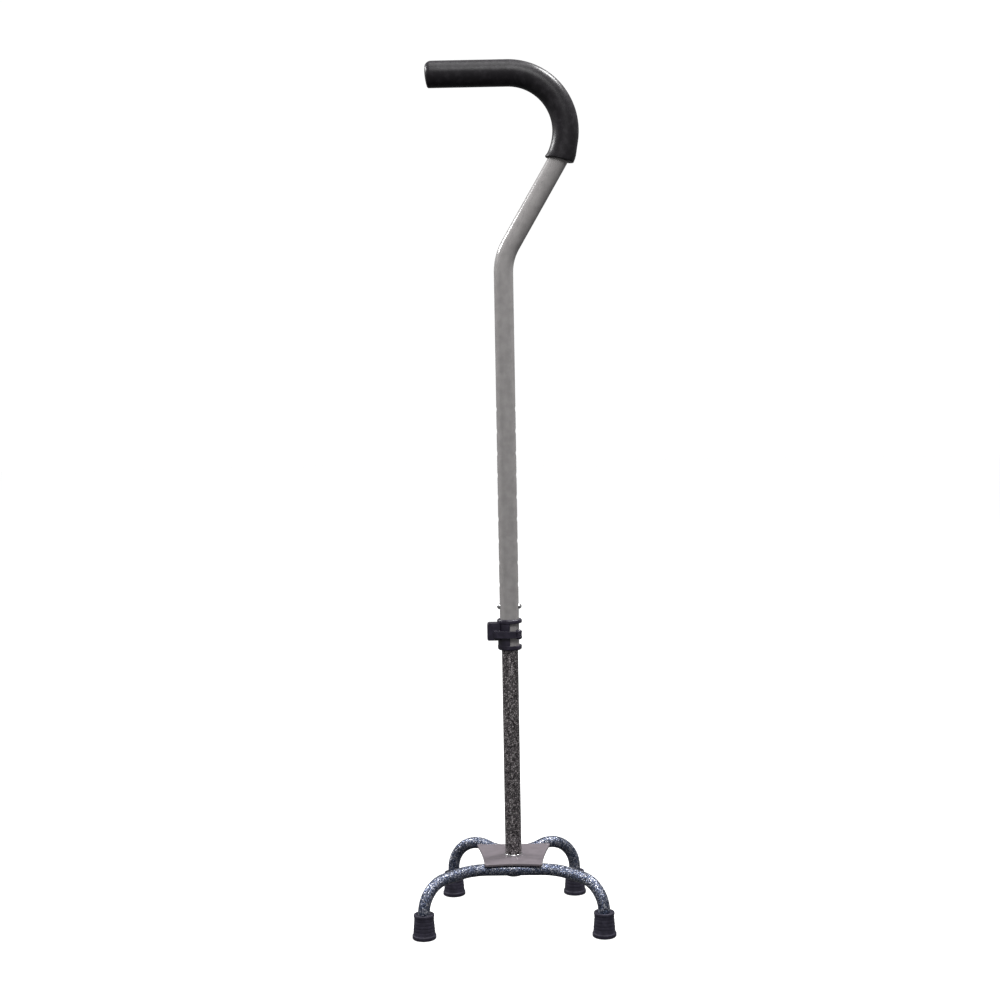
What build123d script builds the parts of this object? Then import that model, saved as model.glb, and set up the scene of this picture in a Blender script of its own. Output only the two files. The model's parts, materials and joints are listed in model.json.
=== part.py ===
"""Quad walking cane with an offset handle, sizes in millimetres.

Origin: on the floor, under the shaft's axis. +Z is up, +X is the side that the
offset bend bulges to, and -Y is the front, where the base is widest.
"""

from build123d import *
from math import asin, atan2, cos, degrees, radians, sin, tan
import os

os.makedirs("parts", exist_ok=True)

# ---------------------------------------------------------------- driving sizes
# Telescopic shaft: 7/8 in over 3/4 in tube
UPPER_R = 22.2 / 2
UPPER_WALL = 1.25
LOWER_R = 19.05 / 2
LOWER_WALL = 1.25
RUNNING = 0.07  # radial clearance of a running fit
UPPER_BOTTOM = 317.6
LOWER_BOTTOM = 49.3
LOWER_TOP = 430.0

# Offset handle, in the XZ plane
HANDLE_Z = 975.1  # height of the handle's axis
HANDLE_BEND_R = 65.5
HANDLE_BEND_X = 7.9  # where the bend meets the straight handle
SLANT = 30.5  # degrees from vertical
NECK_BEND_R = 62.0
TUBE_END_X = -79.0

# Grip
GRIP_R = 15.1
GRIP_END_X = -86.0
GRIP_CUT_TILT = 14.0  # degrees, the lower end's cut
GRIP_CUT_SHIFT = 1.5  # the cut's distance from the bend's end, along X

# Height setting: one-inch holes and sprung buttons
BUTTON_Z = 365.5
HOLE_PITCH = 25.4
HOLE_COUNT = 10
HOLE_R = 3.3
BUTTON_R = 3.2
BUTTON_TIP_X = 14.4

# Collar with its lever
COLLAR_BOTTOM = 315.0
COLLAR_TOP = 351.0
WALL_R = 13.7
LEVER_Z = 334.0  # middle of the lever's band
PIVOT_X, PIVOT_Y = 10.5, -11.3
PIN_R = 1.2
PIN_GAP = 0.03  # the pin is pressed into the lever
PIN_CHAMFER = 0.25

# Base: feet on 8 in by 6 in centres at the front
LEG_TUBE_R = 6.8
LEG_TUBE_WALL = 1.5
FRONT_FOOT_X = 101.6
REAR_FOOT_X = 74.0
FOOT_Y = 76.2
PLATE_TOP = 71.7
PLATE_T = 2.3
PLATE_BOTTOM = PLATE_TOP - PLATE_T

# Rubber tips
TIP_BASE_R = 13.6
TIP_TOP_R = 11.4
TIP_H = 28.0
WASHER_Z = 5.0
WASHER_T = 1.5
WASHER_R = 9.0


# ---------------------------------------------------------------- offset handle
bend_centre_z = HANDLE_Z - HANDLE_BEND_R
sin_slant, cos_slant = sin(radians(SLANT)), cos(radians(SLANT))
neck_z = bend_centre_z - (HANDLE_BEND_R + HANDLE_BEND_X * cos_slant) / sin_slant
corner_x = (HANDLE_Z - neck_z) * tan(radians(SLANT))
bend_end_x = HANDLE_BEND_X + HANDLE_BEND_R * cos_slant
bend_end_z = bend_centre_z - HANDLE_BEND_R * sin_slant

with BuildPart() as upper_tube:
    with BuildLine(Plane.XZ) as tube_path:
        FilletPolyline(
            (0, UPPER_BOTTOM),
            (0, neck_z),
            (corner_x, HANDLE_Z),
            (TUBE_END_X, HANDLE_Z),
            radius=[NECK_BEND_R, HANDLE_BEND_R],
        )
    with BuildSketch(Plane.XY.offset(UPPER_BOTTOM)):
        Circle(UPPER_R)
        Circle(UPPER_R - UPPER_WALL, mode=Mode.SUBTRACT)
    sweep(path=tube_path.line)
    # button holes through both sides
    with BuildSketch(Plane.YZ):
        row_middle = BUTTON_Z + HOLE_PITCH * (HOLE_COUNT - 1) / 2
        with Locations((0, row_middle)):
            with GridLocations(0, HOLE_PITCH, 1, HOLE_COUNT):
                Circle(HOLE_R)
    extrude(amount=2 * UPPER_R, both=True, mode=Mode.SUBTRACT)
upper_tube.part.label = "upper_tube"
export_step(upper_tube.part, "parts/upper_tube.step")

# The grip follows the handle and the bend, and is closed at its free end
END_ROUND = 6.0
CUT_LENGTH = 20.0  # spare length that the slanting cut takes off
PLUG_T = 1.8
PLUG_WALL = 2.0 - RUNNING
PLUG_SPIGOT = 12.0
PLUG_CLEARANCE = 0.2  # between the plug and the grip's closed end
bore_end_x = TUBE_END_X - PLUG_T - PLUG_CLEARANCE
with BuildPart() as hand_grip:
    with BuildLine(Plane.XZ) as grip_path:
        FilletPolyline(
            (bend_end_x - CUT_LENGTH * sin_slant, bend_end_z - CUT_LENGTH * cos_slant),
            (corner_x, HANDLE_Z),
            (GRIP_END_X, HANDLE_Z),
            radius=[HANDLE_BEND_R],
        )
    with BuildSketch(Plane((GRIP_END_X, 0, HANDLE_Z), z_dir=(1, 0, 0))):
        Circle(GRIP_R)
    sweep(path=grip_path.line)
    fillet(hand_grip.edges().filter_by(GeomType.CIRCLE).sort_by(Axis.X)[0], END_ROUND)
    # lower end, cut across the slant
    cut_normal = (-sin(radians(GRIP_CUT_TILT)), 0, -cos(radians(GRIP_CUT_TILT)))
    split(bisect_by=Plane((bend_end_x + GRIP_CUT_SHIFT, 0, bend_end_z), z_dir=cut_normal), keep=Keep.BOTTOM)
    # room for the tube and its end plug
    with BuildLine(Plane.XZ) as bore_path:
        FilletPolyline(
            (bend_end_x - CUT_LENGTH * sin_slant, bend_end_z - CUT_LENGTH * cos_slant),
            (corner_x, HANDLE_Z),
            (bore_end_x, HANDLE_Z),
            radius=[HANDLE_BEND_R],
        )
    with BuildSketch(Plane((bore_end_x, 0, HANDLE_Z), z_dir=(1, 0, 0))):
        Circle(UPPER_R + RUNNING)
    sweep(path=bore_path.line, mode=Mode.SUBTRACT)
hand_grip.part.label = "hand_grip"
export_step(hand_grip.part, "parts/hand_grip.step")

with BuildPart() as handle_end_plug:
    with BuildSketch(Plane((TUBE_END_X, 0, HANDLE_Z), z_dir=(-1, 0, 0))):
        Circle(UPPER_R)
    extrude(amount=PLUG_T)
    with BuildSketch(Plane((TUBE_END_X, 0, HANDLE_Z), z_dir=(1, 0, 0))):
        Circle(UPPER_R - UPPER_WALL - RUNNING)
        Circle(UPPER_R - UPPER_WALL - RUNNING - PLUG_WALL, mode=Mode.SUBTRACT)
    extrude(amount=PLUG_SPIGOT)
handle_end_plug.part.label = "handle_end_plug"
export_step(handle_end_plug.part, "parts/handle_end_plug.step")

# ---------------------------------------------------------------- lower tube and buttons
with BuildPart() as lower_tube:
    with BuildSketch(Plane.XY.offset(LOWER_BOTTOM)):
        Circle(LOWER_R)
        Circle(LOWER_R - LOWER_WALL, mode=Mode.SUBTRACT)
    extrude(amount=LOWER_TOP - LOWER_BOTTOM)
    with BuildSketch(Plane.YZ):
        with Locations((0, BUTTON_Z)):
            Circle(HOLE_R)
    extrude(amount=2 * LOWER_R, both=True, mode=Mode.SUBTRACT)
lower_tube.part.label = "lower_tube"
export_step(lower_tube.part, "parts/lower_tube.step")

# A spigot that turns in the lower tube, under a flange that slides in the upper tube
BUSH_SPIGOT = 18.0
BUSH_FLANGE = 4.0
BUSH_WALL = 2.0 - RUNNING
BUSH_CHAMFER = 0.6
with BuildPart() as guide_bushing:
    with BuildSketch(Plane.XY.offset(LOWER_TOP - BUSH_SPIGOT)):
        Circle(LOWER_R - LOWER_WALL - RUNNING)
    extrude(amount=BUSH_SPIGOT)
    with BuildSketch(Plane.XY.offset(LOWER_TOP)):
        Circle(UPPER_R - UPPER_WALL - RUNNING)
    extrude(amount=BUSH_FLANGE)
    chamfer(guide_bushing.faces().sort_by(Axis.Z)[-1].edges(), BUSH_CHAMFER)
    with BuildSketch(Plane.XY.offset(LOWER_TOP - BUSH_SPIGOT)):
        Circle(LOWER_R - LOWER_WALL - RUNNING - BUSH_WALL)
    extrude(amount=BUSH_SPIGOT + BUSH_FLANGE, mode=Mode.SUBTRACT)
guide_bushing.part.label = "guide_bushing"
export_step(guide_bushing.part, "parts/guide_bushing.step")

# Leaf spring with two legs that press the buttons outwards
LEAF_X = 6.9
LEAF_T = 0.5
LEAF_W = 7.6
LEAF_HOLE_R = 2.95
LEAF_TOP = BUTTON_Z + 7.0
LEAF_KNEE = BUTTON_Z - 9.0  # where the legs start to close in
LEAF_FOOT = BUTTON_Z - 32.0
LEAF_FOOT_X = 3.4
LEAF_RADII = [14.0, 3.2, 3.2, 14.0]
with BuildPart() as snap_spring:
    with BuildSketch(Plane.XZ):
        with BuildLine():
            FilletPolyline(
                (-LEAF_X, LEAF_TOP),
                (-LEAF_X, LEAF_KNEE),
                (-LEAF_FOOT_X, LEAF_FOOT),
                (LEAF_FOOT_X, LEAF_FOOT),
                (LEAF_X, LEAF_KNEE),
                (LEAF_X, LEAF_TOP),
                radius=LEAF_RADII,
            )
        trace(line_width=LEAF_T)
    extrude(amount=LEAF_W / 2, both=True)
    with BuildSketch(Plane.YZ):
        with Locations((0, BUTTON_Z)):
            Circle(LEAF_HOLE_R)
    extrude(amount=2 * LEAF_X, both=True, mode=Mode.SUBTRACT)
snap_spring.part.label = "snap_spring"
export_step(snap_spring.part, "parts/snap_spring.step")

# Snap buttons: a flange behind the leaf, a neck through it, and a domed barrel
FLANGE_X = 5.9
FLANGE_R = 3.9
DOME_H = 2.6
LEAF_GAP = 0.05  # round a button's neck
neck_x = LEAF_X - LEAF_T / 2 - LEAF_GAP
barrel_x = LEAF_X + LEAF_T / 2 + LEAF_GAP
dome_x = BUTTON_TIP_X - DOME_H
dome_r = (BUTTON_R**2 + DOME_H**2) / (2 * DOME_H)
dome_half = asin(BUTTON_R / dome_r) / 2
dome_middle = (BUTTON_TIP_X - dome_r * (1 - cos(dome_half)), dome_r * sin(dome_half))
for side, name in ((-1, "left_button"), (1, "right_button")):
    with BuildPart() as button:
        with BuildSketch(Plane((0, 0, BUTTON_Z), x_dir=(side, 0, 0), z_dir=(0, 1, 0))):
            with BuildLine():
                Polyline(
                    (dome_x, BUTTON_R),
                    (barrel_x, BUTTON_R),
                    (barrel_x, LEAF_HOLE_R - LEAF_GAP),
                    (neck_x, LEAF_HOLE_R - LEAF_GAP),
                    (neck_x, FLANGE_R),
                    (FLANGE_X, FLANGE_R),
                    (FLANGE_X, 0),
                    (BUTTON_TIP_X, 0),
                )
                ThreePointArc((dome_x, BUTTON_R), dome_middle, (BUTTON_TIP_X, 0))
            make_face()
        revolve(axis=Axis((0, 0, BUTTON_Z), (1, 0, 0)))
    button.part.label = name
    export_step(button.part, f"parts/{name}.step")

# ---------------------------------------------------------------- collar and its lever
TOP_FLANGE_R = 14.5
PAST_FLANGE_R = TOP_FLANGE_R + 3.0  # beyond the sleeve's whole outside
TOP_FLANGE_T = 4.7
BOTTOM_FLANGE_R = 14.0
BOTTOM_FLANGE_T = 5.3
FLANGE_EDGE_R = 2.0
LIP_EDGE_R = 0.7
STRAP_H = 3.8  # the part of the sleeve that holds the lever's pin
EYE_R = 3.6
WINDOW_FROM, WINDOW_TO = -88.0, 40.0  # degrees round the axis, 0 is +X
KNUCKLE_R = 4.0
KNUCKLE_H = 11.4
KNUCKLE_EDGE_R = 2.8
BAND_H = 8.0
BAND_GAP = 0.45  # between the lever and the sleeve inside it
BAND_OUTER_R = 16.9
ARM_OUTLINE = [(-18.0, -9.0), (-18.0, -13.6), (-4.0, -16.4), (-4.0, -14.0)]
BLOCK_LEFT, BLOCK_RIGHT = -26.0, -11.0
BLOCK_FRONT, BLOCK_BACK = -10.0, 4.0
BLOCK_BOTTOM, BLOCK_TOP = 326.8, 347.2
BLOCK_EDGE_R = 2.0
SLOT_GAP = 0.2
pivot_angle = degrees(atan2(PIVOT_Y, PIVOT_X))


def sector(start, end, radius):
    """Flat pie slice about the origin between two angles in degrees."""
    first, middle, last = (
        (radius * cos(radians(angle)), radius * sin(radians(angle)))
        for angle in (start, (start + end) / 2, end)
    )
    return make_face([Line((0, 0), first), ThreePointArc(first, middle, last), Line(last, (0, 0))])


window = sector(WINDOW_FROM, WINDOW_TO, PAST_FLANGE_R)
past_the_eye = sector(WINDOW_FROM, pivot_angle, PAST_FLANGE_R)
band = sector(-180, pivot_angle, BAND_OUTER_R)

with BuildPart() as collar_sleeve:
    with BuildSketch(Plane.XY.offset(COLLAR_BOTTOM)):
        Circle(BOTTOM_FLANGE_R)
    extrude(amount=BOTTOM_FLANGE_T)
    with BuildSketch(Plane.XY.offset(COLLAR_BOTTOM)):
        Circle(WALL_R)
    extrude(amount=COLLAR_TOP - COLLAR_BOTTOM)
    with BuildSketch(Plane.XY.offset(COLLAR_TOP - TOP_FLANGE_T)):
        Circle(TOP_FLANGE_R)
    extrude(amount=TOP_FLANGE_T)
    fillet(collar_sleeve.edges().filter_by(GeomType.CIRCLE).sort_by(Axis.Z)[-1], FLANGE_EDGE_R)
    fillet(collar_sleeve.edges().filter_by(GeomType.CIRCLE).sort_by(Axis.Z)[0], FLANGE_EDGE_R)
    circles = collar_sleeve.edges().filter_by(GeomType.CIRCLE)
    lip = circles.filter_by(lambda edge: abs(edge.radius - TOP_FLANGE_R) < 0.01)
    fillet(lip.sort_by(Axis.Z)[0], LIP_EDGE_R)
    # windows above and below the strap
    lower_window = (COLLAR_BOTTOM + BOTTOM_FLANGE_T, LEVER_Z - STRAP_H / 2)
    upper_window = (LEVER_Z + STRAP_H / 2, COLLAR_TOP - TOP_FLANGE_T)
    for bottom, top in (lower_window, upper_window):
        with BuildSketch(Plane.XY.offset(bottom)):
            add(window)
        extrude(amount=top - bottom, mode=Mode.SUBTRACT)
    # the strap stops at the pin's eye
    with BuildSketch(Plane.XY.offset(LEVER_Z - STRAP_H / 2)):
        add(past_the_eye)
    extrude(amount=STRAP_H, mode=Mode.SUBTRACT)
    with BuildSketch(Plane.XY.offset(LEVER_Z - STRAP_H / 2)):
        with Locations((PIVOT_X, PIVOT_Y)):
            Circle(EYE_R)
    extrude(amount=STRAP_H)
    # bores for the upper tube, the lower tube and the pin
    with BuildSketch(Plane.XY.offset(UPPER_BOTTOM)):
        Circle(UPPER_R + RUNNING)
    extrude(amount=COLLAR_TOP - UPPER_BOTTOM, mode=Mode.SUBTRACT)
    with BuildSketch(Plane.XY.offset(COLLAR_BOTTOM)):
        Circle(LOWER_R + RUNNING)
    extrude(amount=UPPER_BOTTOM - COLLAR_BOTTOM, mode=Mode.SUBTRACT)
    with BuildSketch(Plane.XY.offset(LEVER_Z - STRAP_H)):
        with Locations((PIVOT_X, PIVOT_Y)):
            Circle(PIN_R + RUNNING)
    extrude(amount=2 * STRAP_H, mode=Mode.SUBTRACT)
collar_sleeve.part.label = "collar_sleeve"
export_step(collar_sleeve.part, "parts/collar_sleeve.step")

# Lever: a forked knuckle on the pin, a band round the front and a thumb block at the left
with BuildPart() as lock_lever:
    with BuildSketch(Plane.XY.offset(BLOCK_BOTTOM)):
        with Locations(((BLOCK_LEFT + BLOCK_RIGHT) / 2, (BLOCK_FRONT + BLOCK_BACK) / 2)):
            Rectangle(BLOCK_RIGHT - BLOCK_LEFT, BLOCK_BACK - BLOCK_FRONT)
    extrude(amount=BLOCK_TOP - BLOCK_BOTTOM)
    fillet(lock_lever.edges().group_by(Axis.X)[0], BLOCK_EDGE_R)
    with BuildSketch(Plane.XY.offset(LEVER_Z - BAND_H / 2)):
        add(band)
        Polygon(*ARM_OUTLINE, align=None)
    extrude(amount=BAND_H)
    with BuildSketch(Plane.XY.offset(BLOCK_BOTTOM)):
        Circle(WALL_R + BAND_GAP)
    extrude(amount=BLOCK_TOP - BLOCK_BOTTOM, mode=Mode.SUBTRACT)
    # the block reaches up beside the sleeve's top flange
    beside_flange_z = COLLAR_TOP - TOP_FLANGE_T - BAND_GAP
    with BuildSketch(Plane.XY.offset(beside_flange_z)):
        Circle(TOP_FLANGE_R + BAND_GAP)
    extrude(amount=BLOCK_TOP - beside_flange_z, mode=Mode.SUBTRACT)
    pivot_plane = Plane((PIVOT_X, PIVOT_Y, LEVER_Z), x_dir=(1, 0, 0), z_dir=(0, -1, 0))
    with BuildSketch(pivot_plane) as knuckle_half:
        with Locations((KNUCKLE_R / 2, 0)):
            Rectangle(KNUCKLE_R, KNUCKLE_H)
        fillet(knuckle_half.vertices().group_by(Axis.X)[-1], KNUCKLE_EDGE_R)
    revolve(axis=Axis((PIVOT_X, PIVOT_Y, LEVER_Z), (0, 0, 1)))
    # fork slot for the sleeve's eye, and the pin's hole
    slot_h = STRAP_H + 2 * SLOT_GAP
    with BuildSketch(Plane.XY.offset(LEVER_Z - slot_h / 2)):
        with Locations((PIVOT_X, PIVOT_Y)):
            Circle(KNUCKLE_R + BAND_GAP)
    extrude(amount=slot_h, mode=Mode.SUBTRACT)
    with BuildSketch(Plane.XY.offset(LEVER_Z - KNUCKLE_H)):
        with Locations((PIVOT_X, PIVOT_Y)):
            Circle(PIN_R + PIN_GAP)
    extrude(amount=2 * KNUCKLE_H, mode=Mode.SUBTRACT)
lock_lever.part.label = "lock_lever"
export_step(lock_lever.part, "parts/lock_lever.step")

with BuildPart() as lever_pin:
    with BuildSketch(Plane.XY.offset(LEVER_Z - KNUCKLE_H / 2)):
        with Locations((PIVOT_X, PIVOT_Y)):
            Circle(PIN_R)
    extrude(amount=KNUCKLE_H)
    chamfer(lever_pin.edges().filter_by(GeomType.CIRCLE), PIN_CHAMFER)
lever_pin.part.label = "lever_pin"
export_step(lever_pin.part, "parts/lever_pin.step")

# ---------------------------------------------------------------- base
PLATE_FRONT_Y, PLATE_FRONT_CORNER = -36.2, (33.0, -40.3)
PLATE_REAR_Y, PLATE_REAR_CORNER = 42.6, (44.5, 44.0)
PLATE_WAIST = (36.5, 0.0)
PLATE_CORNER_R = 3.0
PLATE_EDGE_R = 0.5
with BuildPart() as base_plate:
    with BuildSketch(Plane.XY.offset(PLATE_BOTTOM)) as plate_outline:
        with BuildLine():
            front_x, front_y = PLATE_FRONT_CORNER
            rear_x, rear_y = PLATE_REAR_CORNER
            waist_x, waist_y = PLATE_WAIST
            ThreePointArc((-front_x, front_y), (0, PLATE_FRONT_Y), (front_x, front_y))
            ThreePointArc((front_x, front_y), (waist_x, waist_y), (rear_x, rear_y))
            ThreePointArc((rear_x, rear_y), (0, PLATE_REAR_Y), (-rear_x, rear_y))
            ThreePointArc((-rear_x, rear_y), (-waist_x, waist_y), (-front_x, front_y))
        make_face()
        fillet(plate_outline.vertices(), PLATE_CORNER_R)
        Circle(LOWER_R + RUNNING, mode=Mode.SUBTRACT)
    extrude(amount=PLATE_T)
    fillet(base_plate.faces().sort_by(Axis.Z)[-1].outer_wire().edges(), PLATE_EDGE_R)
base_plate.part.label = "base_plate"
export_step(base_plate.part, "parts/base_plate.step")

RING_H = 2.3
RING_R = 10.5
RING_EDGE_R = 0.7
with BuildPart() as shaft_ring:
    with BuildSketch(Plane.XY.offset(PLATE_TOP)):
        Circle(RING_R)
        Circle(LOWER_R + RUNNING, mode=Mode.SUBTRACT)
    extrude(amount=RING_H)
    fillet(shaft_ring.edges().group_by(Axis.Z)[-1].sort_by(SortBy.RADIUS)[-1], RING_EDGE_R)
shaft_ring.part.label = "shaft_ring"
export_step(shaft_ring.part, "parts/shaft_ring.step")

SHAFT_WELD = 3.0
SHAFT_WELD_HOLLOW_R = 4.8
with BuildPart() as shaft_weld:
    with BuildSketch(Plane.XZ):
        with BuildLine():
            Polyline(
                (LOWER_R, PLATE_BOTTOM - SHAFT_WELD),
                (LOWER_R, PLATE_BOTTOM),
                (LOWER_R + SHAFT_WELD, PLATE_BOTTOM),
            )
            RadiusArc(
                (LOWER_R + SHAFT_WELD, PLATE_BOTTOM),
                (LOWER_R, PLATE_BOTTOM - SHAFT_WELD),
                SHAFT_WELD_HOLLOW_R,
            )
        make_face()
    revolve(axis=Axis.Z)
shaft_weld.part.label = "shaft_weld"
export_step(shaft_weld.part, "parts/shaft_weld.step")

CAP_FLANGE_T = 1.6
CAP_SPIGOT = 11.0
CAP_WALL = 2.0 - RUNNING
CAP_EDGE_R = 0.8
with BuildPart() as shaft_end_cap:
    with BuildSketch(Plane.XY.offset(LOWER_BOTTOM - CAP_FLANGE_T)):
        Circle(LOWER_R)
    extrude(amount=CAP_FLANGE_T)
    fillet(shaft_end_cap.edges().group_by(Axis.Z)[0], CAP_EDGE_R)
    with BuildSketch(Plane.XY.offset(LOWER_BOTTOM)):
        Circle(LOWER_R - LOWER_WALL - RUNNING)
        Circle(LOWER_R - LOWER_WALL - RUNNING - CAP_WALL, mode=Mode.SUBTRACT)
    extrude(amount=CAP_SPIGOT)
shaft_end_cap.part.label = "shaft_end_cap"
export_step(shaft_end_cap.part, "parts/shaft_end_cap.step")

# Each bent tube makes two legs and lies against the plate's underside. Its path has the
# middle's two corners and the two over the feet.
LEG_MIDDLE_Z = PLATE_BOTTOM - LEG_TUBE_R
FRONT_MIDDLE = (48.4, -28.7, LEG_MIDDLE_Z)
FRONT_CORNER_Z = 59.4
FRONT_RADII = [32.6, 47.5, 47.5, 32.6]
REAR_MIDDLE = (21.0, 47.2, LEG_MIDDLE_Z)
REAR_CORNER_Z = 83.9
REAR_RADII = [36.5, 40.0, 40.0, 36.5]
leg_end_z = WASHER_Z + WASHER_T
legs = (
    ("front_leg_tube", FRONT_FOOT_X, -FOOT_Y, FRONT_MIDDLE, FRONT_CORNER_Z, FRONT_RADII),
    ("rear_leg_tube", REAR_FOOT_X, FOOT_Y, REAR_MIDDLE, REAR_CORNER_Z, REAR_RADII),
)
for name, foot_x, foot_y, (middle_x, middle_y, middle_z), corner_z, radii in legs:
    with BuildPart() as leg_tube:
        with BuildLine() as leg_path:
            FilletPolyline(
                (-foot_x, foot_y, leg_end_z),
                (-foot_x, foot_y, corner_z),
                (-middle_x, middle_y, middle_z),
                (middle_x, middle_y, middle_z),
                (foot_x, foot_y, corner_z),
                (foot_x, foot_y, leg_end_z),
                radius=radii,
            )
        with BuildSketch(Plane((-foot_x, foot_y, leg_end_z))):
            Circle(LEG_TUBE_R)
            Circle(LEG_TUBE_R - LEG_TUBE_WALL, mode=Mode.SUBTRACT)
        sweep(path=leg_path.line)
    leg_tube.part.label = name
    export_step(leg_tube.part, f"parts/{name}.step")

# Weld beads in the corners that the plate makes with the leg tubes, on the shaft's side.
# The outline is measured from the tube's middle and down from the plate.
WELD_LENGTH = 16.0
WELD_GAP = 0.02
WELD_OUTLINE = [(10.6, 0.0), (4.6, 0.0), (4.6, 2.8), (6.8, 5.0)]
for name, tube_y, to_shaft in (
    ("front_plate_weld", FRONT_MIDDLE[1], 1),
    ("rear_plate_weld", REAR_MIDDLE[1], -1),
):
    with BuildPart() as bead:
        with BuildSketch(Plane.YZ):
            outline = [(tube_y + to_shaft * inwards, PLATE_BOTTOM - down) for inwards, down in WELD_OUTLINE]
            Polygon(*outline, align=None)
            with Locations((tube_y, LEG_MIDDLE_Z)):
                Circle(LEG_TUBE_R + WELD_GAP, mode=Mode.SUBTRACT)
        extrude(amount=WELD_LENGTH / 2, both=True)
    bead.part.label = name
    export_step(bead.part, f"parts/{name}.step")

# Rubber tips with a moulded-in washer under the tube's end
TIP_FOOT_CHAMFER = 0.8
TIP_FOOT_H = 3.4  # heavy rim round the tread
TIP_FOOT_STEP = 0.9
TIP_STEP_Z = 5.0
TIP_LIP_H = 3.2
TIP_LIP_OUT = 0.6
TIP_LIP_CHAMFER = 0.7
TIP_GAP = 0.05  # round the leg tube
GROOVE_DEPTH = 1.2
GROOVE_HALF_W = 0.7
GROOVE_RADII = (5.0, 9.5)
WASHER_HOLE_R = 2.5
lip_r = TIP_TOP_R + TIP_LIP_OUT
socket_r = LEG_TUBE_R + TIP_GAP
feet = (
    ("front_left", -FRONT_FOOT_X, -FOOT_Y),
    ("front_right", FRONT_FOOT_X, -FOOT_Y),
    ("rear_left", -REAR_FOOT_X, FOOT_Y),
    ("rear_right", REAR_FOOT_X, FOOT_Y),
)
for name, foot_x, foot_y in feet:
    with BuildPart() as tip:
        with BuildSketch(Plane((foot_x, foot_y, 0), x_dir=(1, 0, 0), z_dir=(0, -1, 0))):
            with BuildLine():
                Polyline(
                    (0, 0),
                    (TIP_BASE_R - TIP_FOOT_CHAMFER, 0),
                    (TIP_BASE_R, TIP_FOOT_CHAMFER),
                    (TIP_BASE_R, TIP_FOOT_H),
                    (TIP_BASE_R - TIP_FOOT_STEP, TIP_STEP_Z),
                    (TIP_TOP_R, TIP_H - TIP_LIP_H),
                    (lip_r, TIP_H - TIP_LIP_H + TIP_LIP_OUT),
                    (lip_r, TIP_H - TIP_LIP_CHAMFER),
                    (lip_r - TIP_LIP_CHAMFER, TIP_H),
                    (socket_r, TIP_H),
                    (socket_r, WASHER_Z + WASHER_T),
                    (WASHER_R, WASHER_Z + WASHER_T),
                    (WASHER_R, WASHER_Z),
                    (0, WASHER_Z),
                    (0, 0),
                )
            make_face()
        revolve(axis=Axis((foot_x, foot_y, 0), (0, 0, 1)))
        # two ring grooves in the tread
        for groove_r in GROOVE_RADII:
            with BuildSketch(Plane((foot_x, foot_y, 0))):
                Circle(groove_r + GROOVE_HALF_W)
                Circle(groove_r - GROOVE_HALF_W, mode=Mode.SUBTRACT)
            extrude(amount=GROOVE_DEPTH, mode=Mode.SUBTRACT)
    tip.part.label = f"{name}_tip"
    export_step(tip.part, f"parts/{name}_tip.step")

    with BuildPart() as washer:
        with BuildSketch(Plane((foot_x, foot_y, WASHER_Z))):
            Circle(WASHER_R)
            Circle(WASHER_HOLE_R, mode=Mode.SUBTRACT)
        extrude(amount=WASHER_T)
    washer.part.label = f"{name}_tip_washer"
    export_step(washer.part, f"parts/{name}_tip_washer.step")
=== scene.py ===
"""Quad walking cane: its looks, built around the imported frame. Metres, +Z up, -Y the front."""

import json
import math

import bmesh
import bpy
from mathutils import Matrix, Vector


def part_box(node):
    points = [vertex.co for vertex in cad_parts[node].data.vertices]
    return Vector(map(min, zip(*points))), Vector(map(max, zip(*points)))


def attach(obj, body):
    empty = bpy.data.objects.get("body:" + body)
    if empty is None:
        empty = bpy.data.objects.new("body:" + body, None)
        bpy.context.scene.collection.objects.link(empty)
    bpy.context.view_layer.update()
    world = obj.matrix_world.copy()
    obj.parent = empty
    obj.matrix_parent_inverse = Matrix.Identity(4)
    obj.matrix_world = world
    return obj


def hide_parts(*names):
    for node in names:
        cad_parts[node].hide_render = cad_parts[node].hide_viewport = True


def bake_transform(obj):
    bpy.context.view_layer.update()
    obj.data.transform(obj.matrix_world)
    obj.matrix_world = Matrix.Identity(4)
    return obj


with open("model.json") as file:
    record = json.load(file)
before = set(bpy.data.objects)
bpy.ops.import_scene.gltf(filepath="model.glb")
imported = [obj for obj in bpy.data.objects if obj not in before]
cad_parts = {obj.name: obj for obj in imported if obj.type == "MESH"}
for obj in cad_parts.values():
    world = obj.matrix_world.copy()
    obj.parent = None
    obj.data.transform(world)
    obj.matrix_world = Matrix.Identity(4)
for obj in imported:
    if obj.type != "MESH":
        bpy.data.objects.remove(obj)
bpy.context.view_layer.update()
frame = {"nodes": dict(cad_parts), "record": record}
nodes = frame["nodes"]
scene = bpy.context.scene

MM = 0.001
UP = Vector((0, 0, 1))
ACROSS = Vector((0, 1, 0))


def centre_of(node):
    """Middle of a CAD node's box."""
    low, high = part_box(node)
    return (low + high) / 2


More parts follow.
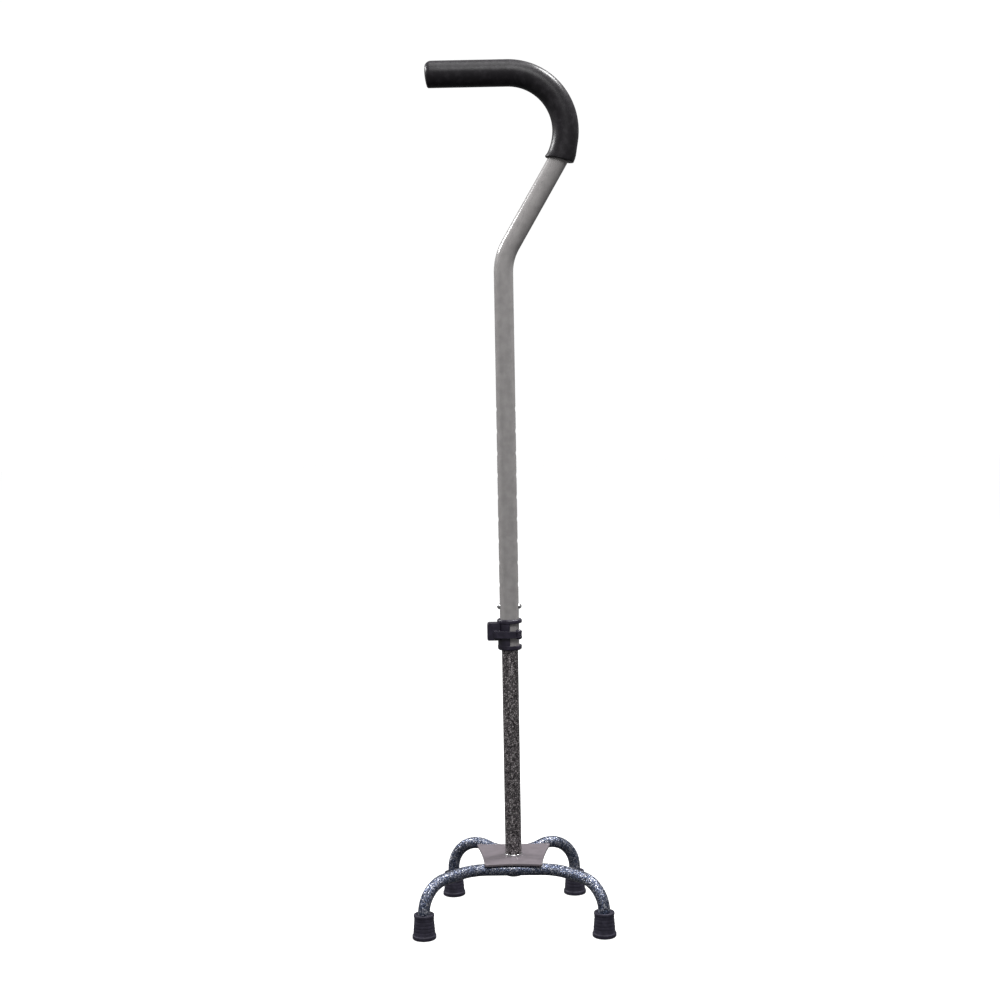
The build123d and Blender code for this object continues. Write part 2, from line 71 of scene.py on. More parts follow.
# ---------------------------------------------------------------- materials
class Finish:
    """One material: patterns that read the piece's own coordinates, and its shader."""

    def __init__(self, name, metallic=0.0, specular=0.5, coat=0.0, coat_roughness=0.1):
        self.material = bpy.data.materials.new(name)
        self.material.use_nodes = True
        self.nodes = self.material.node_tree.nodes
        self.links = self.material.node_tree.links
        self.shader = self.nodes["Principled BSDF"]
        self.set("Metallic", metallic)
        self.set("Specular IOR Level", specular)
        self.set("Coat Weight", coat)
        self.set("Coat Roughness", coat_roughness)
        self.place = self.nodes.new("ShaderNodeTexCoord").outputs["Object"]

    def set(self, socket, value):
        """Fixes one of the shader's sockets, or links a pattern to it."""
        if isinstance(value, bpy.types.NodeSocket):
            self.links.new(value, self.shader.inputs[socket])
        else:
            self.shader.inputs[socket].default_value = value

    def noise(self, size, detail=2.0):
        """Soft noise, with features about size metres across."""
        node = self.nodes.new("ShaderNodeTexNoise")
        node.inputs["Scale"].default_value = 1 / size
        node.inputs["Detail"].default_value = detail
        self.links.new(self.place, node.inputs["Vector"])
        return node.outputs["Fac"]

    def warp(self, size, amount):
        """Bends the coordinates that later patterns read, so that their cells come out uneven."""
        noise = self.nodes.new("ShaderNodeTexNoise")
        noise.inputs["Scale"].default_value = 1 / size
        self.links.new(self.place, noise.inputs["Vector"])
        centred = self.vector_math("SUBTRACT", noise.outputs["Color"], (0.5, 0.5, 0.5))
        shift = self.vector_math("SCALE", centred, None)
        shift.node.inputs["Scale"].default_value = amount
        self.place = self.vector_math("ADD", self.place, shift)

    def vector_math(self, operation, first, second):
        """A vector sum, difference or scaling."""
        node = self.nodes.new("ShaderNodeVectorMath")
        node.operation = operation
        self.links.new(first, node.inputs[0])
        if isinstance(second, bpy.types.NodeSocket):
            self.links.new(second, node.inputs[1])
        elif second is not None:
            node.inputs[1].default_value = second
        return node.outputs["Vector"]

    def cells(self, size):
        """Cells about size metres across: the distance to the nearest edge, and a grey per cell."""
        found = []
        for feature in ("DISTANCE_TO_EDGE", "F1"):
            node = self.nodes.new("ShaderNodeTexVoronoi")
            node.feature = feature
            node.inputs["Scale"].default_value = 1 / size
            self.links.new(self.place, node.inputs["Vector"])
            found.append(node)
        edge, cell = found
        grey = self.nodes.new("ShaderNodeSeparateColor")
        self.links.new(cell.outputs["Color"], grey.inputs["Color"])
        return edge.outputs["Distance"], grey.outputs["Red"]

    def spread(self, pattern, low=0.0, high=1.0, start=0.0, end=1.0):
        """Maps a pattern from start..end smoothly onto low..high."""
        node = self.nodes.new("ShaderNodeMapRange")
        node.interpolation_type = "SMOOTHSTEP"
        for socket, value in (("From Min", start), ("From Max", end), ("To Min", low), ("To Max", high)):
            node.inputs[socket].default_value = value
        self.links.new(pattern, node.inputs["Value"])
        return node.outputs["Result"]

    def combine(self, operation, first, second):
        """Adds or multiplies two patterns, or a pattern and a number."""
        node = self.nodes.new("ShaderNodeMath")
        node.operation = operation
        self.links.new(first, node.inputs[0])
        if isinstance(second, bpy.types.NodeSocket):
            self.links.new(second, node.inputs[1])
        else:
            node.inputs[1].default_value = second
        return node.outputs["Value"]

    def between(self, share, first, second):
        """Colour that goes from first to second with a pattern."""
        node = self.nodes.new("ShaderNodeMix")
        node.data_type = "RGBA"
        self.links.new(share, node.inputs["Factor"])
        for socket, colour in zip((node.inputs[6], node.inputs[7]), (first, second)):
            if isinstance(colour, bpy.types.NodeSocket):
                self.links.new(colour, socket)
            else:
                socket.default_value = (*colour, 1)
        return node.outputs[2]

    def relief(self, height, depth, strength):
        """Bump of depth metres."""
        node = self.nodes.new("ShaderNodeBump")
        node.inputs["Strength"].default_value = strength
        node.inputs["Distance"].default_value = depth
        self.links.new(height, node.inputs["Height"])
        self.set("Normal", node.outputs["Normal"])


def hammered_paint(name, valley_tone_and_painted_shade, island, painted_glint, size):
    """Hammertone enamel: glossy uneven islands of metallic paint. The valleys between are darker, partly the
    enamel's own tone and partly painted shade in the hollows, and random islands are lightened towards a
    painted glint colour.
    """
    finish = Finish(name, metallic=0.8, coat=0.3, coat_roughness=0.14)
    finish.warp(size=1.2 * size, amount=0.6 * size)
    edge, shade = finish.cells(size)
    island_share = finish.spread(edge, start=0.03, end=0.24)
    # random islands lighten towards the glint colour: painted glints on the island tops
    islands_with_painted_glint = finish.between(finish.spread(shade, start=0.25, end=0.95), island, painted_glint)
    # the valleys take the dark valley colour: partly the enamel's own tone, partly painted shade where the
    # bump sinks
    finish.set("Base Color", finish.between(island_share, valley_tone_and_painted_shade, islands_with_painted_glint))
    finish.set("Roughness", finish.spread(shade, low=0.24, high=0.40))
    height = finish.combine("ADD", island_share, finish.noise(size=0.7 * MM))
    finish.relief(height, depth=0.22 * MM, strength=0.8)
    return finish.material


def satin_paint(name, colour, roughness, metallic):
    """Even satin paint with a faint orange peel and slightly uneven gloss."""
    finish = Finish(name, metallic=metallic)
    darker = [channel * 0.9 for channel in colour]
    lighter = [channel * 1.08 for channel in colour]
    clouds = finish.spread(finish.noise(size=9 * MM, detail=4), start=0.3, end=0.7)
    finish.set("Base Color", finish.between(clouds, darker, lighter))
    gloss = finish.noise(size=3 * MM, detail=3)
    finish.set("Roughness", finish.spread(gloss, low=roughness - 0.03, high=roughness + 0.03))
    finish.relief(finish.noise(size=1.5 * MM), depth=0.004 * MM, strength=0.5)
    return finish.material


def moulded(name, colour, roughness, grain, depth, specular=0.4):
    """Rubber or plastic from a textured mould: fine pebbled grain with a little dust in it."""
    finish = Finish(name, specular=specular)
    edge, shade = finish.cells(grain)
    dusty = [channel * 1.5 + 0.004 for channel in colour]
    dust = finish.spread(finish.noise(size=6 * MM, detail=5), start=0.42, end=0.72)
    finish.set("Base Color", finish.between(dust, colour, dusty))
    gloss = finish.noise(size=4 * MM, detail=3)
    finish.set("Roughness", finish.spread(gloss, low=roughness - 0.06, high=roughness + 0.07))
    pebbles = finish.spread(edge, end=0.3)
    finish.relief(finish.combine("ADD", pebbles, finish.combine("MULTIPLY", shade, 0.4)), depth, strength=0.6)
    return finish.material


def bright_metal(name, colour, roughness, cloud):
    """Plated or bare metal, with clouded gloss and fine scuffs."""
    finish = Finish(name, metallic=1.0)
    dull = [channel * (1 - cloud) for channel in colour]
    clouds = finish.spread(finish.noise(size=4 * MM, detail=4), start=0.35, end=0.7)
    finish.set("Base Color", finish.between(clouds, colour, dull))
    gloss = finish.noise(size=2 * MM, detail=5)
    finish.set("Roughness", finish.spread(gloss, low=roughness, high=roughness + 0.14, start=0.3, end=0.7))
    finish.relief(finish.noise(size=0.5 * MM, detail=3), depth=0.01 * MM, strength=0.4)
    return finish.material


slots = {
    "grip_rubber": moulded(
        "grip_rubber", (0.017, 0.0155, 0.018), roughness=0.36, grain=0.9 * MM, depth=0.008 * MM, specular=0.2
    ),
    "satin_aluminium": satin_paint("satin_aluminium", (0.325, 0.312, 0.31), roughness=0.22, metallic=0.0),
    "black_plastic": moulded(
        "black_plastic", (0.021, 0.018, 0.031), roughness=0.34, grain=0.5 * MM, depth=0.02 * MM
    ),
    "white_nylon": moulded("white_nylon", (0.7, 0.69, 0.64), roughness=0.5, grain=0.6 * MM, depth=0.02 * MM),
    # colours: the valleys' dark tone with painted shade in it, the islands, then a painted glint colour
    "hammered_grey": hammered_paint(
        "hammered_grey", (0.026, 0.023, 0.025), (0.27, 0.243, 0.253), (0.68, 0.63, 0.64), size=2.2 * MM
    ),
    "hammered_blue": hammered_paint(
        "hammered_blue", (0.02, 0.03, 0.06), (0.19, 0.225, 0.34), (0.62, 0.63, 0.7), size=1.7 * MM
    ),
    "plate_paint": satin_paint("plate_paint", (0.15, 0.13, 0.145), roughness=0.42, metallic=0.1),
    "chromed_steel": bright_metal("chromed_steel", (0.82, 0.82, 0.83), roughness=0.07, cloud=0.1),
    "plated_steel": bright_metal("plated_steel", (0.62, 0.61, 0.57), roughness=0.24, cloud=0.3),
    "tip_rubber": moulded(
        "tip_rubber", (0.022, 0.02, 0.034), roughness=0.58, grain=0.7 * MM, depth=0.05 * MM, specular=0.3
    ),
}
for row in frame["record"]["subparts"]:
    cad_mesh = nodes[row["node"]].data
    cad_mesh.materials.clear()
    cad_mesh.materials.append(slots[row["material_slot"]])


# ---------------------------------------------------------------- mesh helpers
def linked(name, mesh, slot):
    """Puts a finished mesh in the scene with its material."""
    obj = bpy.data.objects.new(name, mesh)
    scene.collection.objects.link(obj)
    mesh.materials.clear()
    mesh.materials.append(slots[slot])
    return obj


def piece(name, mesh, body, slot, *replaced):
    """Puts a finished mesh in the scene, on its body, in place of its CAD nodes."""
    obj = linked(name, mesh, slot)
    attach(obj, body)
    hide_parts(*replaced)


def skin(name, rings, sharp=40.0, joined=False):
    """Mesh over rings of equally many points. Its ends are filled by fans, or joined to each other."""
    count = len(rings[0])
    points = [point for ring in rings for point in ring]
    pairs = list(zip(range(len(rings) - 1), range(1, len(rings))))
    if joined:
        pairs.append((len(rings) - 1, 0))
    faces = []
    for first, second in pairs:
        for i in range(count):
            j = (i + 1) % count
            faces.append((first * count + i, first * count + j, second * count + j, second * count + i))
    if not joined:
        for start in (0, len(rings) - 1):
            pole = len(points)
            points.append(sum((Vector(p) for p in rings[start]), Vector()) / count)
            fan = [(start * count + i, start * count + (i + 1) % count, pole) for i in range(count)]
            faces += [face[::-1] for face in fan] if start == 0 else fan
    mesh = bpy.data.meshes.new(name)
    mesh.from_pydata([tuple(point) for point in points], [], faces)
    return tidied(mesh, sharp)


def tidied(mesh, sharp):
    """Faces turned outwards and smooth-shaded, with the sharp edges kept."""
    shell = bmesh.new()
    shell.from_mesh(mesh)
    bmesh.ops.remove_doubles(shell, verts=shell.verts, dist=1e-6)
    bmesh.ops.recalc_face_normals(shell, faces=shell.faces)
    shell.to_mesh(mesh)
    shell.free()
    for polygon in mesh.polygons:
        polygon.use_smooth = True
    mesh.set_sharp_from_angle(angle=math.radians(sharp))
    return mesh


def rounded(corners, steps):
    """Outline with each (x, y, radius) corner replaced by an arc of that radius."""
    outline = []
    for index, (x, y, radius) in enumerate(corners):
        corner = Vector((x, y))
        if radius == 0:
            outline.append(corner)
            continue
        before = Vector(corners[index - 1][:2]) - corner
        after = Vector(corners[(index + 1) % len(corners)][:2]) - corner
        half = before.angle(after) / 2
        reach = radius / math.tan(half)
        middle = corner + (before.normalized() + after.normalized()).normalized() * radius / math.sin(half)
        start = corner + before.normalized() * reach - middle
        turn = start.angle_signed(corner + after.normalized() * reach - middle)
        for step in range(steps + 1):
            angle = -turn * step / steps
            arm = Vector((start.x * math.cos(angle) - start.y * math.sin(angle),
                          start.x * math.sin(angle) + start.y * math.cos(angle)))
            outline.append(middle + arm)
    return outline


def turned(name, profile, centre, segments=72, joined=False):
    """Lathe about a vertical axis over centre. The profile's points are (radius, height)."""
    turns = [math.tau * i / segments for i in range(segments)]
    circle = [(math.cos(angle), math.sin(angle)) for angle in turns]
    rings = []
    for radius, height in profile:
        rings.append([(centre.x + radius * x, centre.y + radius * y, height) for x, y in circle])
    return skin(name, rings, joined=joined)


def smooth(value):
    """Smooth step over 0..1."""
    value = min(1.0, max(0.0, value))
    return value * value * (3 - 2 * value)


# ---------------------------------------------------------------- hand grip
GRIP_R = 15.1 * MM
BORE_R = 11.15 * MM
BEND_R = 65.5 * MM
BEND_X = 7.9 * MM  # where the bend meets the straight handle
SLANT = math.radians(30.5)
CUT_TILT = math.radians(14)
FLARE = 1.8 * MM  # extra thickness outside the bend at the lower end
FLARE_LENGTH = 22 * MM
RIM = 1.3 * MM  # rounding of the lower rim
INNER_TAPER = 0.5 * MM  # how much thinner the inside of the bend gets at the lower end
INNER_LIP = 0.6 * MM  # the lip that stands out again at that end
LIP_LENGTH = 5 * MM
FLARE_FOCUS = 1.5  # how closely the flare and the lip keep to their sides
CUT_SHIFT = 1.5 * MM  # of the slanting cut, away from the handle
LEAN_LENGTH = 26 * MM  # over which the rings turn from square to the cut
CROWN_RISE = 8.6  # the closed end falls back by this times the distance squared, in metres
CROWN_HEIGHT = 3.6 * MM  # the crown's middle, above the handle's axis
CORNER = 4.2  # mean rounding of the closed end's edge, in millimetres
CORNER_SWING = 2.4  # how much more it is at the top, and less at the bottom
END_LENGTH = 14 * MM  # from the closed end to the first plain ring
BORE_CHAMFER = 0.9 * MM
BORE_START = 8 * MM  # the bore's first ring, this far from the lower end

GRIP_SEGMENTS = 64
SIDE_RINGS = 60
RIM_STEPS = 6
BORE_RINGS = 44
# where the closed end's rings lie, as shares of the radius
END_SHARES = [0.12, 0.3, 0.48, 0.62] + [0.7 + 0.3 * math.sin(math.pi / 2 * k / 9) for k in range(10)]

grip_low, grip_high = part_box("hand_grip")
handle_z = grip_high.z - GRIP_R
straight = BEND_X - grip_low.x
grip_length = straight + BEND_R * (math.pi / 2 + SLANT)


def handle_frame(distance):
    """Point on the handle's axis, the direction away from the bend's centre, and the tangent."""
    if distance < straight:
        return Vector((grip_low.x + distance, 0, handle_z)), UP, Vector((1, 0, 0))
    angle = (distance - straight) / BEND_R
    outward = Vector((math.sin(angle), 0, math.cos(angle)))
    tangent = Vector((math.cos(angle), 0, -math.sin(angle)))
    return Vector((BEND_X, 0, handle_z - BEND_R)) + outward * BEND_R, outward, tangent


def end_shape(share, angle):
    """Distance of the closed end's surface along the handle, at a share of the radius."""
    side, height = GRIP_R * share * math.sin(angle), GRIP_R * share * math.cos(angle)
    crown = CROWN_RISE * (side**2 + (height - CROWN_HEIGHT) ** 2)
    corner = (CORNER + CORNER_SWING * math.cos(angle)) * MM
    past = max(0.0, GRIP_R * share - (GRIP_R - corner))
    return crown + corner - math.sqrt(max(0.0, corner**2 - past**2))


def grip_ring(distance, shape):
    """Ring round the handle's axis. shape(angle) gives its (radius, shift along the tangent)."""
    point, outward, tangent = handle_frame(distance)
    ring = []
    for i in range(GRIP_SEGMENTS):
        angle = math.tau * i / GRIP_SEGMENTS
        radius, shift = shape(angle)
        ring.append(point + (outward * math.cos(angle) + ACROSS * math.sin(angle)) * radius + tangent * shift)
    return ring


def hand_grip():
    """Moulded grip: crowned closed end, bend, and a flared lower rim round the tube."""
    end_point, end_outward, end_tangent = handle_frame(grip_length)
    cut_point = end_point + Vector((CUT_SHIFT, 0, 0))
    cut_normal = Vector((-math.sin(CUT_TILT), 0, -math.cos(CUT_TILT)))

    def to_cut(angle, radius):
        """How far along the tangent the slanting cut lies."""
        spot = end_point + (end_outward * math.cos(angle) + ACROSS * math.sin(angle)) * radius
        return (cut_point - spot).dot(cut_normal) / end_tangent.dot(cut_normal)

    def outer_radius(distance, angle):
        """Radius of the outside, with the flare and the lip of the lower end."""
        past = smooth((distance - grip_length + FLARE_LENGTH) / FLARE_LENGTH)
        outside = max(0.0, math.cos(angle)) ** FLARE_FOCUS
        inside = max(0.0, -math.cos(angle)) ** FLARE_FOCUS
        lip = smooth((distance - grip_length + LIP_LENGTH) / LIP_LENGTH)
        return GRIP_R + FLARE * past * outside - INNER_TAPER * past * inside + INNER_LIP * lip * inside

    rings = []
    for share in END_SHARES:
        rings.append(grip_ring(0, lambda a: (GRIP_R * share, end_shape(share, a))))
    for k in range(SIDE_RINGS + 1):
        distance = END_LENGTH + (grip_length - END_LENGTH) * k / SIDE_RINGS
        lean = smooth((distance - grip_length + LEAN_LENGTH) / LEAN_LENGTH)

        def side(angle):
            radius = outer_radius(distance, angle)
            return radius, lean * (to_cut(angle, radius) - RIM)
        rings.append(grip_ring(distance, side))
    for step in range(1, RIM_STEPS + 1):
        turn = math.pi / 2 * step / RIM_STEPS

        def rim(angle):
            radius = outer_radius(grip_length, angle)
            return radius - RIM * (1 - math.cos(turn)), to_cut(angle, radius) - RIM * (1 - math.sin(turn))
        rings.append(grip_ring(grip_length, rim))
    for inset in (BORE_CHAMFER, 0.0):
        sunk = inset - BORE_CHAMFER
        rings.append(grip_ring(grip_length, lambda a: (BORE_R + inset, to_cut(a, BORE_R) + sunk)))
    bore_start = grip_length - BORE_START
    bore_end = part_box("handle_end_plug")[0].x - grip_low.x
    for k in range(1, BORE_RINGS + 1):
        distance = bore_start - (bore_start - bore_end) * k / BORE_RINGS
        rings.append(grip_ring(distance, lambda a: (BORE_R, 0)))
    piece("hand_grip_rubber", skin("hand_grip_rubber", rings, sharp=50), "handle", "grip_rubber", "hand_grip")


# ---------------------------------------------------------------- rubber tips
TIP_TAPER = 1.9 * MM  # how much narrower the top is than the foot
TIP_BORE_R = 6.85 * MM  # round the leg tube
TIP_BORE_DEPTH = 12 * MM
AXIS_R = 0.4 * MM  # where the profile starts and ends, just off the tip's axis
# radii of each groove's corners, in millimetres
TREAD_GROOVES = ((4.3, 4.6, 5.4, 5.7), (8.8, 9.1, 9.9, 10.2))
GROOVE_DEPTH = 1.2 * MM
TIP_RINGS = 4  # shallow moulded cuts round the waist
WAIST_STEP = 1.2 * MM  # the waist's foot lies this far inside the foot's edge
NECK_STEP = 0.5 * MM  # and its top this far inside the top's edge
# (rise, depth) round a cut's middle, in millimetres
RING_CUT = ((-0.9, 0), (-0.35, 0.2), (0.35, 0.2), (0.9, 0))


def rubber_tip(name):
    """Ferrule: dished top with a lip, ringed waist, heavy foot, and ring grooves in the tread."""
    low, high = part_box(f"{name}_tip")
    height = high.z - low.z
    foot = (high.x - low.x) / 2
    top = foot - TIP_TAPER
    corners = [(AXIS_R, 0, 0)]
    for inner_rim, inner_floor, outer_floor, outer_rim in TREAD_GROOVES:
        corners += [
            (inner_rim * MM, 0, 0.2 * MM), (inner_floor * MM, GROOVE_DEPTH, 0.3 * MM),
            (outer_floor * MM, GROOVE_DEPTH, 0.3 * MM), (outer_rim * MM, 0, 0.2 * MM),
        ]
    corners += [
        (foot, 0, 1.1 * MM),
        (foot, 4.0 * MM, 0.7 * MM),
        (foot - 1.0 * MM, 5.2 * MM, 0.8 * MM),
    ]
    waist_low, waist_high = 7.5 * MM, height - 5.0 * MM
    waist_foot = foot - WAIST_STEP
    for ring in range(TIP_RINGS):
        middle = waist_low + (waist_high - waist_low) * (ring + 0.5) / TIP_RINGS
        radius = waist_foot - (waist_foot - top + NECK_STEP) * (middle - waist_low) / (waist_high - waist_low)
        for rise, cut in RING_CUT:
            corners.append((radius - cut * MM, middle + rise * MM, 0.25 * MM))
    corners += [
        (top - NECK_STEP, height - 3.4 * MM, 0.5 * MM),
        (top, height - 2.7 * MM, 0.4 * MM),
        (top, height, 0.9 * MM),
        (top - 2.1 * MM, height, 0.5 * MM),
        (TIP_BORE_R + 1.2 * MM, height - 1.0 * MM, 0.5 * MM),
        (TIP_BORE_R + 0.5 * MM, height - 0.6 * MM, 0.3 * MM),
        (TIP_BORE_R, height - 0.9 * MM, 0.2 * MM),
        (TIP_BORE_R, height - TIP_BORE_DEPTH, 0),
        (AXIS_R, height - TIP_BORE_DEPTH, 0),
    ]
    mesh = turned(f"{name}_tip_rubber", rounded(corners, steps=3), centre_of(f"{name}_tip"))
    piece(f"{name}_tip_rubber", mesh, "base", "tip_rubber", f"{name}_tip")


# ---------------------------------------------------------------- collar and lever
def moulding(node, body, voxel=0.32 * MM, passes=5, share=0.3):
    """The CAD shape of a moulded part with every edge softened."""
    draft = bpy.data.objects.new("draft", nodes[node].data.copy())
    scene.collection.objects.link(draft)
    tidied(draft.data, sharp=180)
    remesh = draft.modifiers.new("remesh", "REMESH")
    remesh.mode = "VOXEL"
    remesh.voxel_size = voxel
    soften = draft.modifiers.new("soften", "SMOOTH")
    soften.iterations = passes
    thin = draft.modifiers.new("thin", "DECIMATE")
    thin.ratio = share
    bpy.context.view_layer.update()
    mesh = bpy.data.meshes.new_from_object(draft.evaluated_get(bpy.context.evaluated_depsgraph_get()))
    mesh.name = f"{node}_moulding"
    bpy.data.objects.remove(draft)
    piece(f"{node}_moulding", tidied(mesh, sharp=60), body, "black_plastic", node)


# ---------------------------------------------------------------- leaf spring
LEAF_BENDS = 10  # how many straight stretches a bending leg is cut into


def spring_leg(button, side):
    """Half of the leaf spring, cut off at the middle and sliced into straight stretches from its foot up to
    its button; in the cane this is the stretch that bends as the button goes in.
    """
    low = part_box("snap_spring")[0]
    bend_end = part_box(button)[0].z
    leg = bmesh.new()
    leg.from_mesh(nodes["snap_spring"].data)
    bmesh.ops.remove_doubles(leg, verts=leg.verts, dist=1e-7)
    geometry = leg.verts[:] + leg.edges[:] + leg.faces[:]
    cut = bmesh.ops.bisect_plane(
        leg, geom=geometry, plane_co=(0, 0, 0), plane_no=(side, 0, 0), clear_inner=True
    )
    rim = [item for item in cut["geom_cut"] if isinstance(item, bmesh.types.BMEdge)]
    bmesh.ops.edgeloop_fill(leg, edges=rim)
    for k in range(1, LEAF_BENDS):
        height = low.z + (bend_end - low.z) * k / LEAF_BENDS
        geometry = leg.verts[:] + leg.edges[:] + leg.faces[:]
        bmesh.ops.bisect_plane(leg, geom=geometry, plane_co=(0, 0, height), plane_no=(0, 0, 1))
    name = f"{button}_spring_leg"
    mesh = bpy.data.meshes.new(name)
    leg.to_mesh(mesh)
    leg.free()
    obj = linked(name, tidied(mesh, sharp=40), "plated_steel")
    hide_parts("snap_spring")
    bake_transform(obj)


# ---------------------------------------------------------------- ring and welds
RING_GAP = 0.07 * MM  # between the ring and the shaft


def rolled_ring():
    """Bright ring with a rolled edge where the shaft meets the plate."""
    low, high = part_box("shaft_ring")
    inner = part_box("lower_tube")[1].x + RING_GAP
    outer = high.x
    corners = [
        (inner, low.z, 0.1 * MM), (outer, low.z, 0.3 * MM),
        (outer, high.z, 0.7 * MM), (inner, high.z, 0.2 * MM),
    ]
    profile = rounded(corners, steps=4)
    mesh = turned("shaft_ring_rolled", profile, Vector((0, 0, 0)), segments=96, joined=True)
    piece("shaft_ring_rolled", mesh, "base", "chromed_steel", "shaft_ring")


BEAD_SIDES = 12
RIPPLE = 1.7 * MM  # spacing of a weld's ripples
RIPPLE_RINGS = 6  # rings of points along each ripple
STRAIGHT_BEAD = (2.3 * MM, 1.45 * MM)  # half width and half height
STRAIGHT_BEAD_DROP = 1.5 * MM  # its middle, below the plate's underside
STRAIGHT_BEAD_SHIFT = 0.4 * MM
ROUND_BEAD = (1.6 * MM, 1.1 * MM)
ROUND_BEAD_OUT = 0.9 * MM  # its middle, outside the shaft
ROUND_BEAD_DROP = 1.1 * MM


def bead_section(middle, width, height):
    """Oval of points round middle, with these half width and half height."""
    turns = [math.tau * i / BEAD_SIDES for i in range(BEAD_SIDES)]
    return [(middle[0] + width * math.cos(a), middle[1] + height * math.sin(a)) for a in turns]


def straight_weld(node, side):
    """Rippled bead along the corner between the plate and a leg tube."""
    low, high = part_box(node)
    width, height = STRAIGHT_BEAD
    steps = int((high.x - low.x) / RIPPLE * RIPPLE_RINGS)
    rings = []
    for k in range(steps + 1):
        x = low.x + (high.x - low.x) * k / steps
        swell = 0.82 + 0.18 * abs(math.sin(math.pi * (x - low.x) / RIPPLE))
        taper = math.sqrt(max(0.02, 1 - abs(2 * k / steps - 1) ** 6))
        middle = ((low.y + high.y) / 2 + side * STRAIGHT_BEAD_SHIFT, high.z - STRAIGHT_BEAD_DROP)
        section = bead_section(middle, width * swell * taper, height * swell * taper)
        rings.append([(x, y, z) for y, z in section])
    piece(f"{node}_bead", skin(f"{node}_bead", rings, sharp=60), "base", "plate_paint", node)


def round_weld():
    """Rippled bead round the shaft under the plate."""
    width, height = ROUND_BEAD
    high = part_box("shaft_weld")[1]
    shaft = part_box("lower_tube")[1].x
    middle = (shaft + ROUND_BEAD_OUT, high.z - ROUND_BEAD_DROP)
    count = round(math.tau * shaft / RIPPLE)
    rings = []
    for k in range(count * RIPPLE_RINGS):
        angle = math.tau * k / (count * RIPPLE_RINGS)
        swell = 0.85 + 0.15 * abs(math.sin(angle * count / 2))
        section = bead_section(middle, width * swell, height * swell)
        rings.append([(r * math.cos(angle), r * math.sin(angle), z) for r, z in section])
    mesh = skin("shaft_weld_bead", rings, sharp=60, joined=True)
    piece("shaft_weld_bead", mesh, "base", "plate_paint", "shaft_weld")


hand_grip()
for foot_name in ("front_left", "front_right", "rear_left", "rear_right"):
    rubber_tip(foot_name)
moulding("collar_sleeve", "handle")
moulding("lock_lever", "lever", voxel=0.2 * MM, passes=8, share=0.2)
spring_leg("left_button", -1)
spring_leg("right_button", 1)
rolled_ring()
straight_weld("front_plate_weld", 1)
straight_weld("rear_plate_weld", -1)
round_weld()


# ---------------------------------------------------------------- stage, lights and camera
def glow(name, strength, diffuse):
    """Evenly lit white surface for the stage: part its own light, part what falls on it."""
    made = bpy.data.materials.new(name)
    made.use_nodes = True
    shader = made.node_tree.nodes["Principled BSDF"]
    shader.inputs["Base Color"].default_value = (diffuse, diffuse, diffuse, 1)
    shader.inputs["Roughness"].default_value = 0.9
    shader.inputs["Emission Color"].default_value = (1, 1, 1, 1)
    shader.inputs["Emission Strength"].default_value = strength
    return made


def stage_surface(name, radius, height, material, sphere=False):
    """Disc or sphere that the camera sees, and that casts no light or shadow on the cane."""
    mesh = bpy.data.meshes.new(name)
    shell = bmesh.new()
    if sphere:
        bmesh.ops.create_uvsphere(shell, u_segments=48, v_segments=24, radius=radius)
    else:
        bmesh.ops.create_circle(shell, cap_ends=True, segments=96, radius=radius)
    shell.to_mesh(mesh)
    shell.free()
    mesh.materials.append(material)
    obj = bpy.data.objects.new(name, mesh)
    obj.location.z = height
    obj.visible_diffuse = False
    obj.visible_glossy = False
    obj.visible_shadow = False
    scene.collection.objects.link(obj)


def soft_light(name, place, target, size, power):
    """Square soft box at place, aimed at target."""
    lamp = bpy.data.lights.new(name, "AREA")
    lamp.size = size
    lamp.energy = power
    obj = bpy.data.objects.new(name, lamp)
    obj.location = place
    obj.rotation_euler = (Vector(target) - Vector(place)).to_track_quat("-Z", "Y").to_euler()
    obj.visible_camera = False
    scene.collection.objects.link(obj)


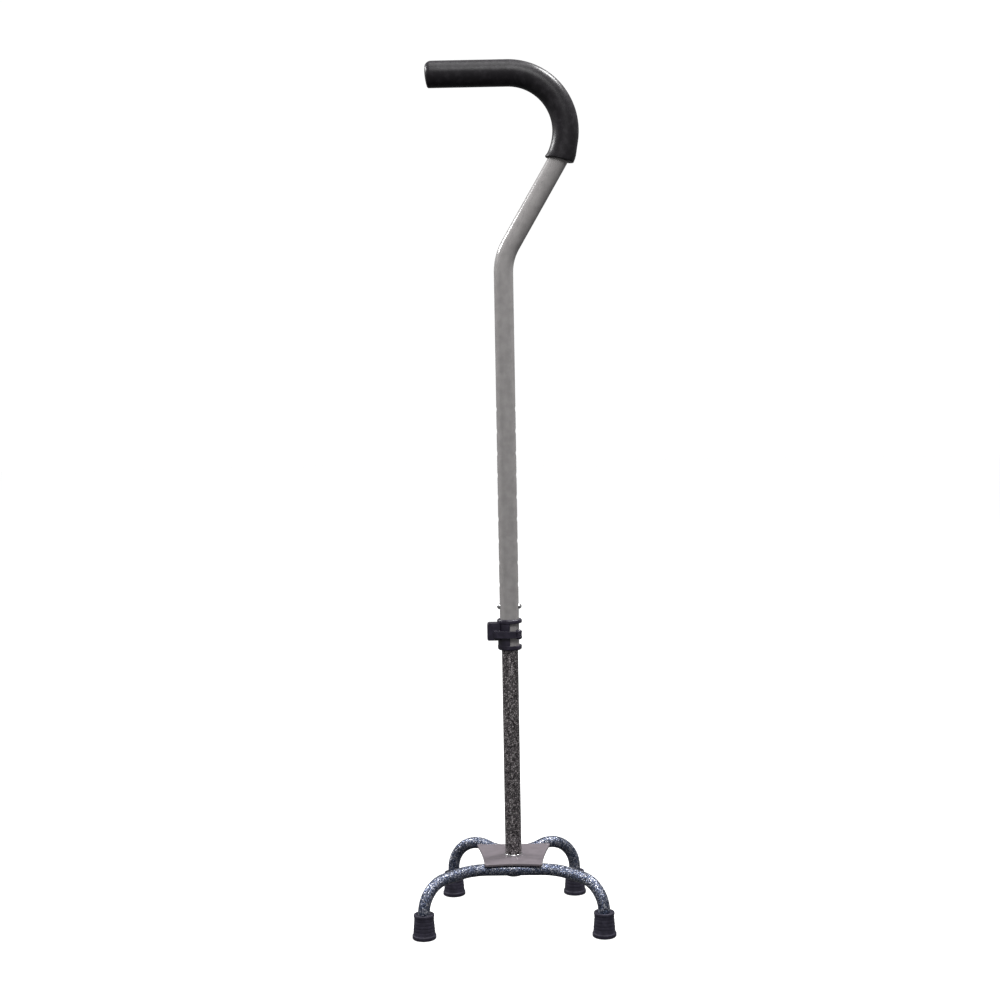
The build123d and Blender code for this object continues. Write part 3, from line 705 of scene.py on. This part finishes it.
def surroundings(top, horizon, bottom):
    """Dim even room light that falls off towards the floor."""
    world = bpy.data.worlds.new("room")
    world.use_nodes = True
    scene.world = world
    tree = world.node_tree
    place = tree.nodes.new("ShaderNodeTexCoord")
    split = tree.nodes.new("ShaderNodeSeparateXYZ")
    spread = tree.nodes.new("ShaderNodeMapRange")
    spread.inputs["From Min"].default_value = -1
    ramp = tree.nodes.new("ShaderNodeValToRGB")
    ramp.color_ramp.elements[0].color = (bottom, bottom, bottom * 1.06, 1)
    ramp.color_ramp.elements[1].color = (top, top, top, 1)
    middle = ramp.color_ramp.elements.new(0.5)
    middle.color = (horizon, horizon, horizon, 1)
    tree.links.new(place.outputs["Generated"], split.inputs["Vector"])
    tree.links.new(split.outputs["Z"], spread.inputs["Value"])
    tree.links.new(spread.outputs["Result"], ramp.inputs["Fac"])
    tree.links.new(ramp.outputs["Color"], tree.nodes["Background"].inputs["Color"])


stage_surface("floor", radius=14, height=-0.0002, material=glow("pale_floor", strength=0.86, diffuse=0.35))
stage_surface(
    "backdrop", radius=13, height=0, material=glow("pale_backdrop", strength=1.02, diffuse=0.0), sphere=True
)
surroundings(top=0.42, horizon=0.24, bottom=0.03)
soft_light("left_box", place=(-2.4, 1.05, 2.2), target=(0, 0, 0.8), size=0.5, power=75)
soft_light("right_box", place=(1.3, 0.73, 3.06), target=(0, 0, 0.9), size=0.6, power=95)
soft_light("overhead_box", place=(-0.1, -0.3, 2.3), target=(0, 0, 0), size=1.0, power=14)
soft_light("front_box", place=(0.3, -2.3, 2.8), target=(0, 0, 0.4), size=1.3, power=62)

FOCAL_LENGTH = 55.09  # millimetres, on a 36 mm sensor
CAMERA_PLACE = (-0.00798, -1.7661, 0.60868)
CAMERA_PITCH = 0.0674715  # downwards, in radians
CAMERA_ROLL = 0.0176265
CAMERA_HEADING = 0.000327
CAMERA_ORBIT = 0.0121  # the cane stands turned a little from square

camera = bpy.data.objects.new("camera", bpy.data.cameras.new("camera"))
camera.data.lens = FOCAL_LENGTH
camera.data.sensor_width = 36
camera.matrix_world = (
    Matrix.Rotation(CAMERA_ORBIT, 4, "Z")
    @ Matrix.Translation(CAMERA_PLACE)
    @ Matrix.Rotation(CAMERA_HEADING, 4, "Z")
    @ Matrix.Rotation(math.pi / 2 - CAMERA_PITCH, 4, "X")
    @ Matrix.Rotation(-CAMERA_ROLL, 4, "Z")
)
scene.collection.objects.link(camera)
scene.camera = camera
scene.view_settings.view_transform = "Standard"
